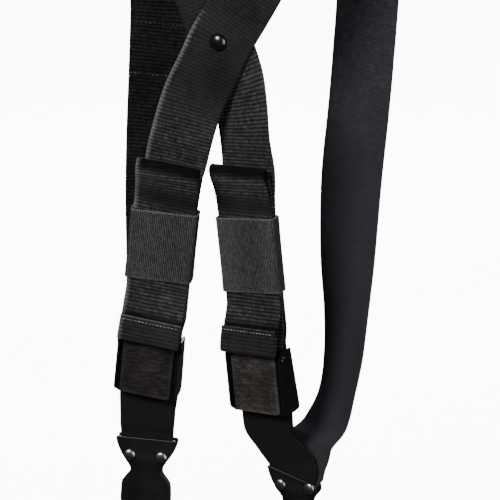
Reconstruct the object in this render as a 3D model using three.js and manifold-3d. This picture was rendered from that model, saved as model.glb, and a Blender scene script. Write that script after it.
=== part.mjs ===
// A black webbing X-back harness with lever buckles, elastic keepers and snap hooks, hanging free.
// Millimetres, +Z up. The wearer's back faces -Y, the chest +Y, and +X is the wearer's right.
// The origin is midway between the shoulders, level with the undersides of the two shoulder arches.
import * as THREE from "three";
import { mergeVertices } from "three/addons/utils/BufferGeometryUtils.js";
import Module from "manifold-3d";

const wasm = await Module();
wasm.setup();

// ---------------------------------------------------------------- driving dimensions, mm and degrees
const CROSSING_DROP = 225; // from the shoulder arches' undersides down to the crossing rivet
const GAP = 0.3; // clearance between pieces that touch

const WEBBING = { width: 40, thick: 1.8 };
const LOWER_WEB = { width: 36, thick: 1.4 };
const LEATHER_THICK = 2;
const SPAN_STEPS = 3; // cross-sections between two stations of a strap

const CROSSING_YAW = -3;
const CROSSING_RIVET = {
  capRadius: 5.5,
  capHeight: 3.2,
  postRadius: 1.8,
  endRadius: 4.6,
  endHeight: 1.2,
};
const COUPLER_RIVET = { capRadius: 4, capHeight: 1.9, postRadius: 1.3, endRadius: 3.6, endHeight: 0.9 };
const RIVET_HOLE = { clearance: 0.3, drill: 40 };
const CROSSING_LAYERS = 2.6; // from the inner back strap's middle out to the outer one's, at the rivet
const WASHER = { thick: 1, overlap: 1 };

// The adjuster's own frame: +Z up along the strap from the lever pin, -Y outward, X across.
const LAYER_PITCH = 2.4; // from one strap layer to the next inside the keeper
const KEEPER = { height: 49, wall: 1, corner: 2.4, side: 0.5, slack: 0.5 };
const KEEPER_TRAVEL = 6;
const GRIPPED = 36.8; // the webbing is squeezed to this width between the cheeks
const FRAME = { top: 6, bottom: -36.5, inside: 37.6, sheet: 1.5, base: 1.5, baseInner: 1.3, depth: 12.6 };
const CHEEK_BACK = { top: -1.5, bottom: -6 };
const WEB_SLOT = { top: -20, bottom: -25 };
const LOWER_SLOT = { top: -27.6, bottom: -32 };
const SLOT_WIDTH = 37.4;
const PIN = { out: 8, radius: 1.5, headRadius: 2.5, head: 0.9, hole: 1.7 };
const LEVER = { width: 36.8, top: 2, bottom: -37, under: 1.2, over: 2.6, lobe: 2.6 };
const PAD = { width: 33, top: 2, bottom: -36.5, under: 2.8, over: 4.4, corner: 3 };

// The coupler's own frame: +Z up along its axis from the leaf's top edge, -Y outward, X across.
const LEAF = { out: 3.3, band: 1.35, fold: -60, foldRadius: 3.3, trimmed: 18 };
const LOWER_END = 1.3; // the lower strap's middle, outward of the coupler's middle plane
const FRONT_END = -1.1; // and the front strap's
const STRAP_END = -15;
const RIVET_SPREAD = 10.5;
const RIVET_DOWN = -12;

const EYE = { bar: 1.5, holeHalf: 13.2, outerHalf: 16.6, holeBottom: -10, bottom: -16.5, thick: 3 };
const BOSS = { radius: 4.4, bore: 2.3 };
const STEM = { radius: 2, headRadius: 3.3, head: 2 };
const HOOK = { wire: 2.3, headWidth: 15, headTop: -17, headBottom: -29, thick: 7.6 };
const GATE = { thick: 3.2, slot: 5.2, pinX: 4.2, pinZ: -25, pinRadius: 1, hole: 1.2, boss: 2.6 };
const GATE_FROM = -2.3; // the gate lies to the inner side of its slot, and its spring fills the rest

// ---------------------------------------------------------------- finishes
const finish = (colour, roughness, metalness) =>
  new THREE.MeshStandardMaterial({ color: colour, roughness, metalness });
const webbingCloth = finish(0x2c2b2e, 0.9, 0);
const lowerCloth = finish(0x1b1a1c, 0.85, 0);
const elasticCloth = finish(0x424347, 0.85, 0);
const suede = finish(0x2d2826, 0.95, 0);
const leather = finish(0x1a1a1b, 0.45, 0);
const blackMetal = finish(0x0b0b0c, 0.2, 0.7);
const gunmetal = finish(0x3a3838, 0.3, 0.9);

// ---------------------------------------------------------------- solids
function solidFrom(geometry) {
  const bare = new THREE.BufferGeometry();
  bare.setAttribute("position", geometry.getAttribute("position").clone());
  if (geometry.index) bare.setIndex(geometry.index.clone());
  const merged = mergeVertices(bare, 1e-4);
  return new wasm.Manifold(
    new wasm.Mesh({
      numProp: 3,
      vertProperties: new Float32Array(merged.getAttribute("position").array),
      triVerts: new Uint32Array(merged.index.array),
    }),
  );
}

function geometryFrom(solid) {
  const mesh = solid.getMesh();
  const geometry = new THREE.BufferGeometry();
  geometry.setAttribute("position", new THREE.BufferAttribute(mesh.vertProperties, 3));
  geometry.setIndex(new THREE.BufferAttribute(mesh.triVerts, 1));
  return geometry;
}

const join = (first, ...rest) =>
  geometryFrom(rest.reduce((whole, piece) => whole.add(solidFrom(piece)), solidFrom(first)));
const cut = (body, ...tools) =>
  geometryFrom(tools.reduce((whole, tool) => whole.subtract(solidFrom(tool)), solidFrom(body)));

function addPart(parent, name, geometry, material) {
  const mesh = new THREE.Mesh(geometry, material);
  mesh.name = name;
  parent.add(mesh);
  return mesh;
}

// An outline in the X-Z plane, given as [x, z] corners, with each corner rounded by `corner`.
// It is always wound anticlockwise, so that any outline can be another's hole.
function outline(points, corner = 0) {
  const shape = new THREE.Shape();
  const corners = points.map(([x, z]) => new THREE.Vector2(x, z));
  if (THREE.ShapeUtils.isClockWise(corners)) corners.reverse();
  if (!corner) {
    shape.setFromPoints(corners);
    return shape;
  }
  corners.forEach((here, i) => {
    const before = corners[(i + corners.length - 1) % corners.length];
    const after = corners[(i + 1) % corners.length];
    const start = here.clone().lerp(before, corner / here.distanceTo(before));
    const end = here.clone().lerp(after, corner / here.distanceTo(after));
    if (i) shape.lineTo(start.x, start.y);
    else shape.moveTo(start.x, start.y);
    shape.quadraticCurveTo(here.x, here.y, end.x, end.y);
  });
  shape.closePath();
  return shape;
}

const rectangle = (x0, x1, z0, z1) => [[x0, z0], [x1, z0], [x1, z1], [x0, z1]];

function circle(x, z, radius, segments = 20) {
  const turns = Array.from({ length: segments }, (_, i) => (i / segments) * 2 * Math.PI);
  return outline(turns.map((a) => [x + radius * Math.cos(a), z + radius * Math.sin(a)]));
}

// A plate with that outline, standing in the X-Z plane from outward distance `from` to `to`.
function plate(shape, from, to, bevel = 0, curveSegments = 4) {
  const geometry = new THREE.ExtrudeGeometry(shape, {
    depth: to - from - 2 * bevel,
    bevelEnabled: bevel > 0,
    bevelThickness: bevel,
    bevelSize: bevel,
    bevelOffset: -bevel,
    bevelSegments: 1,
    curveSegments,
  });
  geometry.translate(0, 0, from + bevel);
  geometry.rotateX(Math.PI / 2); // the shape's second axis becomes +Z, and its depth runs along -Y
  return geometry;
}

// A side profile, given as [z, outward] corners, drawn out across X between `from` and `to`.
function acrossPlate(shape, from, to, curveSegments = 4) {
  const depth = to - from;
  const geometry = new THREE.ExtrudeGeometry(shape, { depth, bevelEnabled: false, curveSegments });
  geometry.translate(0, 0, from);
  const outward = new THREE.Vector3(0, -1, 0);
  geometry.applyMatrix4(
    new THREE.Matrix4().makeBasis(new THREE.Vector3(0, 0, 1), outward, new THREE.Vector3(1, 0, 0)),
  );
  return geometry;
}

function rodAlongX(radius, length, segments = 20) {
  return new THREE.CylinderGeometry(radius, radius, length, segments).rotateZ(Math.PI / 2);
}

function rodAlongY(radius, length, segments = 16) {
  return new THREE.CylinderGeometry(radius, radius, length, segments);
}

function rodAlongZ(radius, length, segments = 16) {
  return new THREE.CylinderGeometry(radius, radius, length, segments).rotateX(Math.PI / 2);
}

// ---------------------------------------------------------------- straps
// A station is a point on a strap's middle line, the direction across the strap there, and its width.
function station(x, y, z, yaw = 0, width = WEBBING.width) {
  const turn = THREE.MathUtils.degToRad(yaw);
  return {
    at: new THREE.Vector3(x, y, z - CROSSING_DROP),
    across: new THREE.Vector3(Math.cos(turn), Math.sin(turn), 0),
    width,
  };
}

// The same in a placed frame, from its height, outward distance and sideways shift there.
function stationIn(frame, height, outward, width = WEBBING.width, shift = 0) {
  const origin = frame.localToWorld(new THREE.Vector3(shift, -outward, height));
  const side = frame.localToWorld(new THREE.Vector3(shift + 1, -outward, height));
  return { at: origin, across: side.sub(origin), width };
}

const stationsIn = (frame, points) => points.map((numbers) => stationIn(frame, ...numbers));

// A flat strap: a long box bent so that its length follows the stations.
function strap(stations, thick, spanSteps = SPAN_STEPS) {
  const centre = new THREE.CatmullRomCurve3(stations.map((s) => s.at), false, "catmullrom", 0.5);
  const across = new THREE.CatmullRomCurve3(stations.map((s) => s.across), false, "catmullrom", 0.5);
  const widths = stations.map((s) => s.width);
  const spans = stations.length - 1;
  const box = new THREE.BoxGeometry(1, thick, 1, 1, 1, spans * spanSteps);
  const position = box.getAttribute("position");
  for (let i = 0; i < position.count; i++) {
    const t = THREE.MathUtils.clamp(position.getZ(i) + 0.5, 0, 1);
    const span = Math.min(Math.floor(t * spans), spans - 1);
    const width = THREE.MathUtils.lerp(widths[span], widths[span + 1], t * spans - span);
    const along = centre.getTangent(t);
    const face = along.clone().cross(across.getPoint(t)).normalize();
    const side = face.clone().cross(along);
    const point = centre.getPoint(t);
    point.addScaledVector(side, position.getX(i) * width);
    point.addScaledVector(face, position.getY(i));
    position.setXYZ(i, point.x, point.y, point.z);
  }
  return box;
}

// ---------------------------------------------------------------- placed frames
const harness = new THREE.Group();

function frameAt(x, y, z, pitch, lean, yaw, parent = harness) {
  const frame = new THREE.Group();
  frame.position.set(x, y, z);
  const turn = THREE.MathUtils.degToRad;
  frame.rotation.set(turn(pitch), turn(lean), turn(yaw), "ZYX");
  parent.add(frame);
  frame.updateWorldMatrix(true, false);
  return frame;
}

const crossing = frameAt(0, 0, -CROSSING_DROP, 0, 0, CROSSING_YAW);
const sides = {
  left: {
    adjuster: frameAt(-52.1, 22, -200 - CROSSING_DROP, 13, 8.8, 5),
    coupler: frameAt(-61.5, 36, -271 - CROSSING_DROP, 0, 2, 5),
    keeperHeight: 71,
    loopTop: 130,
    swing: 0, // how far apart, sideways, the two straps meet the leather
    keeperSkew: 0.1,
    leafTrim: { slope: 0, narrow: 0 },
  },
  right: {
    adjuster: frameAt(21.5, 18.6, -202 - CROSSING_DROP, 6, -2.5, -16),
    coupler: frameAt(40.7, 32, -280.2 - CROSSING_DROP, 0, -2, -13),
    keeperHeight: 67,
    loopTop: 125,
    swing: 1.3,
    keeperSkew: 0.07,
    leafTrim: { slope: 0.28, narrow: 0.27 },
  },
};

// ---------------------------------------------------------------- back straps
// Each comes down from its shoulder, over the crossing, and through the other side's adjuster: down
// behind the buckle, round its bar, up under the lever, through the keeper, over the loop and down
// again to its hem. The layers run straight for STRAIGHT each way from the keeper's middle.
const STRAIGHT = KEEPER.height / 2 + KEEPER_TRAVEL;
function tailStations({ adjuster, keeperHeight, loopTop: top }) {
  const low = keeperHeight - STRAIGHT;
  const high = keeperHeight + STRAIGHT;
  const middle = LAYER_PITCH;
  const front = 2 * LAYER_PITCH;
  return stationsIn(adjuster, [
    [high, 0], [keeperHeight, 0], [low, 0], [19, 0], [9, 0, GRIPPED], [-8, 0, GRIPPED],
    [-20.6, 0, GRIPPED], [-22.05, 0.6, GRIPPED], [-22.65, 2.05, GRIPPED], [-22.05, 3.5, GRIPPED],
    [-20.6, 4.1, GRIPPED], [-12, 4.1, GRIPPED], [8, 4.1, GRIPPED],
    [18, 3.8], [low - 8, 2.8], [low, middle], [keeperHeight, middle], [high, middle],
    [top - 13, 2.8], [top - 6, 3.8], [top - 1, 5.9], [top - 0.4, 8.2], [top - 3, 9.8], [top - 9, 9],
    [top - 15, 6.7],
    [high, front], [keeperHeight, front], [low, front],
    [low - 8, 6.7], [22, 10.1], [14, 13], [8.5, 14.6], [5.9, 15.6],
    [5.6, 16.8], [7.4, 17.5], [13, 15.9], [21, 13],
  ]);
}

const outerStations = [
  station(76.4, 73.2, 74),
  station(77.4, 73.4, 95),
  station(78.4, 73.2, 118),
  station(79.5, 71, 150),
  station(80.5, 67, 180),
  station(81, 59, 208),
  station(80, 44, CROSSING_DROP + WEBBING.thick / 2),
  station(78, 29, 208),
  station(74, 21, 180),
  station(67, 15, 146),
  station(56, 9, 111),
  station(43, 2.5, 79),
  station(29, -1.6, 50, CROSSING_YAW),
  station(16, -2.8, 26.3, CROSSING_YAW),
  station(0.4, -2.7, 0, CROSSING_YAW),
  station(-6.8, -2.4, -15.6, CROSSING_YAW),
  station(-18.1, -0.6, -38.6, CROSSING_YAW),
  station(-26.4, 2.6, -63.2, CROSSING_YAW),
  station(-32.4, 6.8, -83, CROSSING_YAW),
];

const innerStations = [
  station(-64.2, 72.2, -43),
  station(-63.6, 72.4, -20),
  station(-62.6, 72.6, 2),
  station(-63.4, 73, 40),
  station(-65.4, 73, 80),
  station(-68, 71.6, 120),
  station(-70, 69, 155),
  station(-71, 65, 184),
  station(-71.4, 57, 210),
  station(-71, 44, CROSSING_DROP + WEBBING.thick / 2),
  station(-69, 30, 209),
  station(-65, 21, 180),
  station(-58, 15, 146),
  station(-47, 9, 111),
  station(-33, 6.5, 79),
  station(-19.6, 3.6, 50, CROSSING_YAW),
  station(-8.6, 1.2, 24.4, CROSSING_YAW),
  station(0.6, 0, 0, CROSSING_YAW),
  station(8.2, 0.2, -20.6, -6),
  station(12.2, 1.4, -38, -17),
  station(14.2, 3, -58, -22),
  station(15.4, 8, -80, -19),
];

function rivetHole(frame, x, z, postRadius) {
  const drill = rodAlongY(postRadius + RIVET_HOLE.clearance, RIVET_HOLE.drill, 12);
  drill.translate(x, 0, z);
  drill.applyMatrix4(frame.matrixWorld);
  return drill;
}

const crossingHole = rivetHole(crossing, 0, 0, CROSSING_RIVET.postRadius);
const outerRoute = [...outerStations, ...tailStations(sides.left)];
const innerRoute = [...innerStations, ...tailStations(sides.right)];
const outerStrap = cut(strap(outerRoute, WEBBING.thick), crossingHole);
const innerStrap = cut(strap(innerRoute, WEBBING.thick), crossingHole);
addPart(harness, "back_strap_outer", outerStrap, webbingCloth);
addPart(harness, "back_strap_inner", innerStrap, webbingCloth);

// ---------------------------------------------------------------- front straps
// Each starts inside the lap with its back strap's end and comes down to the coupler's two rivets.
const frontEnd = (frame, swing) =>
  stationsIn(frame, [
    [17, FRONT_END - 3.6, 34, 6 * swing],
    [6, FRONT_END - 1.1, 34, 3 * swing],
    [-4, FRONT_END, 34, swing],
    [STRAP_END, FRONT_END, 23],
  ]);

const frontStations = {
  left: [
    station(-62.9, 70.3, 26),
    station(-62.3, 70.1, 6),
    station(-62.6, 70, -9),
    station(-64, 70, -41),
    station(-65.5, 69, -80),
    station(-65.6, 66.5, -118),
    station(-64.4, 62, -153, -4),
    station(-63.4, 56, -187, -10),
    station(-62.7, 49, -217, -10),
    station(-61.8, 41.6, -243, -4),
  ],
  right: [
    station(78.2, 71, 118),
    station(77.4, 71.2, 95),
    station(76.4, 71, 72),
    station(75, 70.5, 40),
    station(73.4, 70, 8),
    station(69.3, 70, -47),
    station(65.4, 69, -90),
    station(64.2, 67, -118, -6),
    station(63.9, 64, -150, -16),
    station(64.4, 60, -181, -30),
    station(64, 55.5, -210, -38),
    station(61, 50, -236, -40, 38),
    station(56, 43.4, -253, -27, 36),
  ],
};

function couplerHoles(frame) {
  return [-1, 1].map((end) => rivetHole(frame, end * RIVET_SPREAD, RIVET_DOWN, COUPLER_RIVET.postRadius));
}

for (const [side, { coupler, swing }] of Object.entries(sides)) {
  const route = [...frontStations[side], ...frontEnd(coupler, swing)];
  const geometry = cut(strap(route, WEBBING.thick), ...couplerHoles(coupler));
  addPart(harness, side + "_front_strap", geometry, webbingCloth);
}

// ---------------------------------------------------------------- lower straps
// Each is looped over the buckle's bottom bar, its short end inside, and runs down to the coupler.
const barLoop = (frame) =>
  stationsIn(
    frame,
    [[-50, 0.3], [-42, 0], [-36.5, -0.6], [-33.5, -0.8], [-31.2, 0.2], [-30.6, 2.05], [-31.2, 3.9],
      [-33.5, 4.9], [-36.5, 4.6], [-42, 2.9]].map(([z, out]) => [z, out, LOWER_WEB.width]),
  );
const lowerEnd = (frame, swing) =>
  stationsIn(frame, [
    [4, LOWER_END + 0.5, 35, -3.2 * swing],
    [-4, LOWER_END, 34, -swing],
    [STRAP_END, LOWER_END, 23],
  ]);
const lowerMiddle = {
  left: [station(-59.6, 29.6, -259, 2, LOWER_WEB.width)],
  right: [station(24.2, 23.6, -256, -14, LOWER_WEB.width), station(29.6, 28.6, -267, -13, 35)],
};

for (const [side, { adjuster, coupler, swing }] of Object.entries(sides)) {
  const route = [...barLoop(adjuster), ...lowerMiddle[side], ...lowerEnd(coupler, swing)];
  const geometry = cut(strap(route, LOWER_WEB.thick), ...couplerHoles(coupler));
  addPart(harness, side + "_lower_strap", geometry, lowerCloth);
}

// ---------------------------------------------------------------- rivets
// A domed cap, its post, and the peened end on the far side of everything it holds.
function rivetGeometry(size, outerFace, innerFace) {
  const capBase = outerFace + GAP;
  const endBase = innerFace - GAP;
  const endTip = endBase - size.endHeight;
  const profile = new THREE.Path();
  profile.moveTo(0, endTip);
  profile.lineTo(size.endRadius - size.endHeight / 2, endTip);
  profile.lineTo(size.endRadius, endTip + size.endHeight / 2);
  profile.lineTo(size.endRadius, endBase);
  profile.lineTo(size.postRadius, endBase);
  profile.lineTo(size.postRadius, capBase);
  profile.lineTo(size.capRadius, capBase);
  profile.lineTo(size.capRadius, capBase + size.capHeight * 0.2);
  profile.bezierCurveTo(
    size.capRadius * 0.95, capBase + size.capHeight * 0.8,
    size.capRadius * 0.5, capBase + size.capHeight,
    0, capBase + size.capHeight,
  );
  const lathe = new THREE.LatheGeometry(profile.getPoints(3), 14);
  return lathe.rotateZ(Math.PI); // the cap turns to face outward
}

function addRivet(frame, name, size, x, z, faces, material) {
  const rivet = addPart(frame, name, rivetGeometry(size, ...faces), material);
  rivet.position.set(x, 0, z);
}

const outerFace = CROSSING_LAYERS + WEBBING.thick / 2;
const innerFace = -WEBBING.thick / 2;
const washerFace = innerFace - GAP - WASHER.thick;
addRivet(crossing, "crossing_rivet", CROSSING_RIVET, 0, 0, [outerFace, washerFace], blackMetal);
const washer = cut(
  rodAlongY(CROSSING_RIVET.endRadius + WASHER.overlap, WASHER.thick, 20),
  rodAlongY(CROSSING_RIVET.postRadius + GAP, 2 * WASHER.thick, 20),
);
washer.translate(0, WASHER.thick / 2 - washerFace - WASHER.thick, 0);
addPart(crossing, "crossing_washer", washer, blackMetal);

// ---------------------------------------------------------------- elastic keepers
function keeperGeometry(height, skew) {
  const half = WEBBING.width / 2 + KEEPER.side;
  const inner = -WEBBING.thick / 2 - KEEPER.slack;
  const outer = 2 * LAYER_PITCH - inner;
  const wall = KEEPER.wall;
  const band = outline(rectangle(-half - wall, half + wall, -outer - wall, -inner + wall), KEEPER.corner);
  band.holes.push(outline(rectangle(-half, half, -outer, -inner)));
  const depth = KEEPER.height;
  const geometry = new THREE.ExtrudeGeometry(band, { depth, bevelEnabled: false, curveSegments: 4 });
  const lean = new THREE.Matrix4().makeShear(0, skew, 0, 0, 0, 0);
  return geometry.applyMatrix4(lean).translate(0, 0, height - KEEPER.height / 2);
}

// ---------------------------------------------------------------- lever buckles
function buckleFrameGeometry() {
  const half = FRAME.inside / 2 + FRAME.sheet;
  const base = outline(rectangle(-half, half, FRAME.bottom, FRAME.top), 1);
  for (const slot of [WEB_SLOT, LOWER_SLOT])
    base.holes.push(outline(rectangle(-SLOT_WIDTH / 2, SLOT_WIDTH / 2, slot.bottom, slot.top)));
  const { top, bottom, depth } = FRAME;
  const foot = bottom - 0.5;
  const cheek = outline(
    [[top, CHEEK_BACK.top], [top, 9], [top - 4, depth], [bottom + 3, depth], [foot, 9.5],
      [foot, CHEEK_BACK.bottom + 1.5], [foot + 2, CHEEK_BACK.bottom]],
    1,
  );
  cheek.holes.push(circle(0, PIN.out, PIN.hole, 20));
  return join(
    plate(base, FRAME.baseInner, FRAME.baseInner + FRAME.base),
    acrossPlate(cheek, half - FRAME.sheet, half),
    acrossPlate(cheek, -half, FRAME.sheet - half),
  );
}

function leverGeometry() {
  const half = LEVER.width / 2;
  const leaf = outline(rectangle(LEVER.bottom, LEVER.top, PIN.out + LEVER.under, PIN.out + LEVER.over));
  const lobe = rodAlongX(LEVER.lobe, LEVER.width, 24).translate(0, -PIN.out, 0);
  const hole = rodAlongX(PIN.hole, LEVER.width + 2).translate(0, -PIN.out, 0);
  return cut(join(acrossPlate(leaf, -half, half), lobe), hole);
}

function padGeometry() {
  const face = outline(rectangle(-PAD.width / 2, PAD.width / 2, PAD.bottom, PAD.top), PAD.corner);
  return plate(face, PIN.out + PAD.under, PIN.out + PAD.over, 0.5);
}

function pinGeometry() {
  const inside = FRAME.inside / 2 + FRAME.sheet + GAP;
  const end = inside + PIN.head;
  const corners = [
    [0, -end], [PIN.headRadius - 0.4, -end], [PIN.headRadius, 0.4 - end], [PIN.headRadius, -inside],
    [PIN.radius, -inside], [PIN.radius, inside], [PIN.headRadius, inside], [PIN.headRadius, end - 0.4],
    [PIN.headRadius - 0.4, end], [0, end],
  ];
  const lathe = new THREE.LatheGeometry(corners.map(([r, y]) => new THREE.Vector2(r, y)), 20);
  return lathe.rotateZ(Math.PI / 2).translate(0, -PIN.out, 0);
}

for (const [side, { adjuster, keeperHeight, keeperSkew }] of Object.entries(sides)) {
  addPart(adjuster, side + "_keeper", keeperGeometry(keeperHeight, keeperSkew), elasticCloth);
  addPart(adjuster, side + "_buckle_frame", buckleFrameGeometry(), blackMetal);
  addPart(adjuster, side + "_buckle_lever", leverGeometry(), blackMetal);
  addPart(adjuster, side + "_lever_pad", padGeometry(), suede);
  addPart(adjuster, side + "_lever_pin", pinGeometry(), blackMetal);
}

// ---------------------------------------------------------------- leather couplers
// Turns the leaf's level top edge into one that runs downhill towards +X, and draws its +X side in.
// Both ease out down the leaf.
function trimLeaf(strip, frame, { slope, narrow }) {
  const position = strip.getAttribute("position");
  const point = new THREE.Vector3();
  for (let i = 0; i < position.count; i++) {
    frame.worldToLocal(point.fromBufferAttribute(position, i));
    const share = THREE.MathUtils.clamp(1 + point.z / LEAF.trimmed, 0, 1);
    if (point.x > 0) point.x *= 1 - narrow * share;
    point.z -= slope * share * (point.x + WEBBING.width / 2);
    frame.localToWorld(point);
    position.setXYZ(i, point.x, point.y, point.z);
  }
}

// One strip of leather: a six-sided leaf, a neck and a band, folded round the eye's bar and back up
// inside as the same again.
function couplerGeometry(frame, leafTrim) {
  const down = [
    [0, LEAF.out + 0.3, 40], [-5, LEAF.out, 38], [-10, LEAF.out, 34], [-15, LEAF.out, 28],
    [-19, 2.6, 22.5], [-21.5, 2.1, 20.5], [-24, 1.7, 22], [-28, 1.4, 29],
    [-31, LEAF.band, 32.5], [-36, LEAF.band, 33], [-46, LEAF.band, 33], [-50, 1.45, 29],
    [-54, 1.9, 25], [-57, 2.7, 25], [LEAF.fold, LEAF.foldRadius, 25], [LEAF.fold - 2.35, 2.3, 25],
  ];
  const up = down.map(([z, out, width]) => [z, -out, width]).reverse();
  const route = stationsIn(frame, [...down, [LEAF.fold - LEAF.foldRadius, 0, 25], ...up]);
  const strip = strap(route, LEATHER_THICK, 2);
  trimLeaf(strip, frame, leafTrim);
  return cut(strip, ...couplerHoles(frame));
}

// ---------------------------------------------------------------- swivel eyes and snap hooks
// Both are drawn from the middle of the eye's bar.
function eyeGeometry() {
  const { bar, holeHalf, outerHalf, holeBottom, bottom, thick } = EYE;
  const ring = outline(
    [[-outerHalf, bar], [outerHalf, bar], [outerHalf, -6.5], [8, -13.5], [-8, -13.5], [-outerHalf, -6.5]],
    1.2,
  );
  ring.holes.push(
    outline([[-holeHalf, -bar], [holeHalf, -bar], [holeHalf, -5.5], [6.5, holeBottom], [-6.5, holeBottom],
      [-holeHalf, -5.5]]),
  );
  const bossHeight = holeBottom - bottom;
  const boss = rodAlongZ(BOSS.radius, bossHeight, 20).translate(0, 0, bottom + bossHeight / 2);
  const bore = rodAlongZ(BOSS.bore, 2 * bossHeight, 20).translate(0, 0, bottom + bossHeight / 2);
  return cut(join(plate(ring, -thick / 2, thick / 2, 0.4), boss), bore);
}

function hookGeometry() {
  const headTop = EYE.holeBottom + GAP + STEM.head;
  const stemEnd = HOOK.headTop - 2;
  const stem = rodAlongZ(STEM.radius, headTop - stemEnd, 20).translate(0, 0, (headTop + stemEnd) / 2);
  const button = rodAlongZ(STEM.headRadius, STEM.head, 20).translate(0, 0, headTop - STEM.head / 2);
  const half = HOOK.headWidth / 2;
  const block = outline(
    [[-half + 2, HOOK.headTop], [half - 2, HOOK.headTop], [half, HOOK.headTop - 3],
      [half, HOOK.headBottom], [-half, HOOK.headBottom], [-half, HOOK.headTop - 3]],
    1,
  );
  const bend = [[-5, -26], [-8.6, -32], [-11.3, -41], [-9.6, -49.5], [-3, -55.6], [5, -55],
    [10.8, -49.5], [12, -42.5]];
  const route = new THREE.CatmullRomCurve3(bend.map(([x, z]) => new THREE.Vector3(x, 0, z)));
  const wire = new THREE.ExtrudeGeometry(circle(0, 0, HOOK.wire, 10), { steps: 18, extrudePath: route });
  const slot = new THREE.BoxGeometry(half + 3, GATE.slot, 12).translate(half / 2 + 0.5, 0, -27.8);
  const pinHole = rodAlongY(GATE.hole, 12).translate(GATE.pinX, 0, GATE.pinZ);
  return cut(join(plate(block, -HOOK.thick / 2, HOOK.thick / 2), stem, button, wire), slot, pinHole);
}

function gateGeometry() {
  const arm = outline([[2.2, -25], [6.6, -25.5], [9.1, -44.4], [6.3, -45]]);
  const to = GATE_FROM + GATE.thick;
  const boss = plate(circle(GATE.pinX, GATE.pinZ, GATE.boss, 20), GATE_FROM, to);
  const pinHole = rodAlongY(GATE.hole, 12).translate(GATE.pinX, 0, GATE.pinZ);
  return cut(join(plate(arm, GATE_FROM, to), boss), pinHole);
}

function gateSpringGeometry() {
  const coil = circle(GATE.pinX, GATE.pinZ, GATE.boss - 0.4, 20);
  coil.holes.push(circle(GATE.pinX, GATE.pinZ, GATE.hole, 20));
  return plate(coil, GATE_FROM + GATE.thick + GAP, GATE.slot / 2 - GAP / 2);
}

for (const [side, { coupler, leafTrim }] of Object.entries(sides)) {
  addPart(harness, side + "_coupler_leather", couplerGeometry(coupler, leafTrim), leather);
  const face = LEAF.out + LEATHER_THICK / 2;
  for (const [end, across] of [["left", -RIVET_SPREAD], ["right", RIVET_SPREAD]])
    addRivet(coupler, `${side}_rivet_${end}`, COUPLER_RIVET, across, RIVET_DOWN, [face, -face], gunmetal);
  const link = new THREE.Group();
  link.position.set(0, 0, LEAF.fold);
  coupler.add(link);
  addPart(link, side + "_swivel_eye", eyeGeometry(), gunmetal);
  addPart(link, side + "_snap_hook", hookGeometry(), gunmetal);
  addPart(link, side + "_snap_gate", gateGeometry(), gunmetal);
  const pin = rodAlongY(GATE.pinRadius, HOOK.thick - 0.2).translate(GATE.pinX, 0, GATE.pinZ);
  addPart(link, side + "_gate_pin", pin, gunmetal);
  addPart(link, side + "_gate_spring", gateSpringGeometry(), gunmetal);
}

export default harness;
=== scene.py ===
"""A black webbing harness with crossed back straps, hanging free: its looks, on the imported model."""
import math

import bmesh
import bpy
import numpy as np
from mathutils import Matrix, Vector, noise


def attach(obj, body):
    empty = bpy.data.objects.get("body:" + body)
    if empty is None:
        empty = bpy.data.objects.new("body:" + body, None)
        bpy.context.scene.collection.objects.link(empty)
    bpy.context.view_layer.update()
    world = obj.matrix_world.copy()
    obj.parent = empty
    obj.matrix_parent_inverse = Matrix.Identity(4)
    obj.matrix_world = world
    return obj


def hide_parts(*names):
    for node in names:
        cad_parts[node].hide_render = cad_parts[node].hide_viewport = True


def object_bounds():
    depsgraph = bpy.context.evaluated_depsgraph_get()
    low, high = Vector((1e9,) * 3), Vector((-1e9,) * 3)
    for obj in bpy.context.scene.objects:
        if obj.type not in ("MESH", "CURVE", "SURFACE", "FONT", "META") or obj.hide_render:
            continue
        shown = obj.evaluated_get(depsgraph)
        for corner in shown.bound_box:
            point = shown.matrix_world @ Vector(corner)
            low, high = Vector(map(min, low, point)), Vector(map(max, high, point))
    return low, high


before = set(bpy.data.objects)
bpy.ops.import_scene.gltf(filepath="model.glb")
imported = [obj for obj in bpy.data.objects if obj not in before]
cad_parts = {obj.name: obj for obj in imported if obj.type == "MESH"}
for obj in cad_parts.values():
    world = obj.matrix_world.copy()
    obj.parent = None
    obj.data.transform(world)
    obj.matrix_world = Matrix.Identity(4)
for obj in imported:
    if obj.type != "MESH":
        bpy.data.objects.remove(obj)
cad_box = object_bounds()

# -------- driving dimensions, mm and degrees
MM = 0.001  # one millimetre in scene units
CROSSING_DROP = 225  # from the shoulder arches' undersides down to the crossing rivet
CROSSING_YAW = -3
WEBBING = 40
WEBBING_THICK = 1.8
LOWER_WEB = 36
LOWER_THICK = 1.4
GRIPPED = 36.8
LAYER_PITCH = 2.4  # from one strap layer to the next inside the keeper
LEATHER_THICK = 2
GAP = 0.3

# The weave: from rib to rib, how far ribs stand proud, and how far from an edge they die out.
RIB_PITCH, RIB_HEIGHT = 2.4, 0.3
FINE_PITCH, FINE_HEIGHT = 1.3, 0.12
SELVEDGE = 2.2
STEP = RIB_PITCH / 4  # between a ribbed strap's cross-sections
LOWER_STEP = 0.7
LEATHER_STEP = 0.6
SLANT = 0.14  # how far a rib slants where the back straps turn towards the buckles

# The adjuster's own frame: +Z up along the strap from the lever pin, -Y outward, X across.
KEEPER_HEIGHT, KEEPER_WALL, KEEPER_CORNER, KEEPER_SIDE, KEEPER_SLACK = 49, 1, 2.4, 0.5, 0.5
KEEPER_TRAVEL = 6
KEEPER_CORDS = 88
PIN_OUT, PIN_RADIUS, PIN_HEAD, PIN_HEAD_RADIUS = 8, 1.5, 0.9, 2.5
PAD_WIDTH, PAD_TOP, PAD_BOTTOM, PAD_UNDER, PAD_OVER, PAD_CORNER = 33, 2, -36.5, 2.8, 4.4, 3
FRAME_HALF = 20.3

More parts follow.
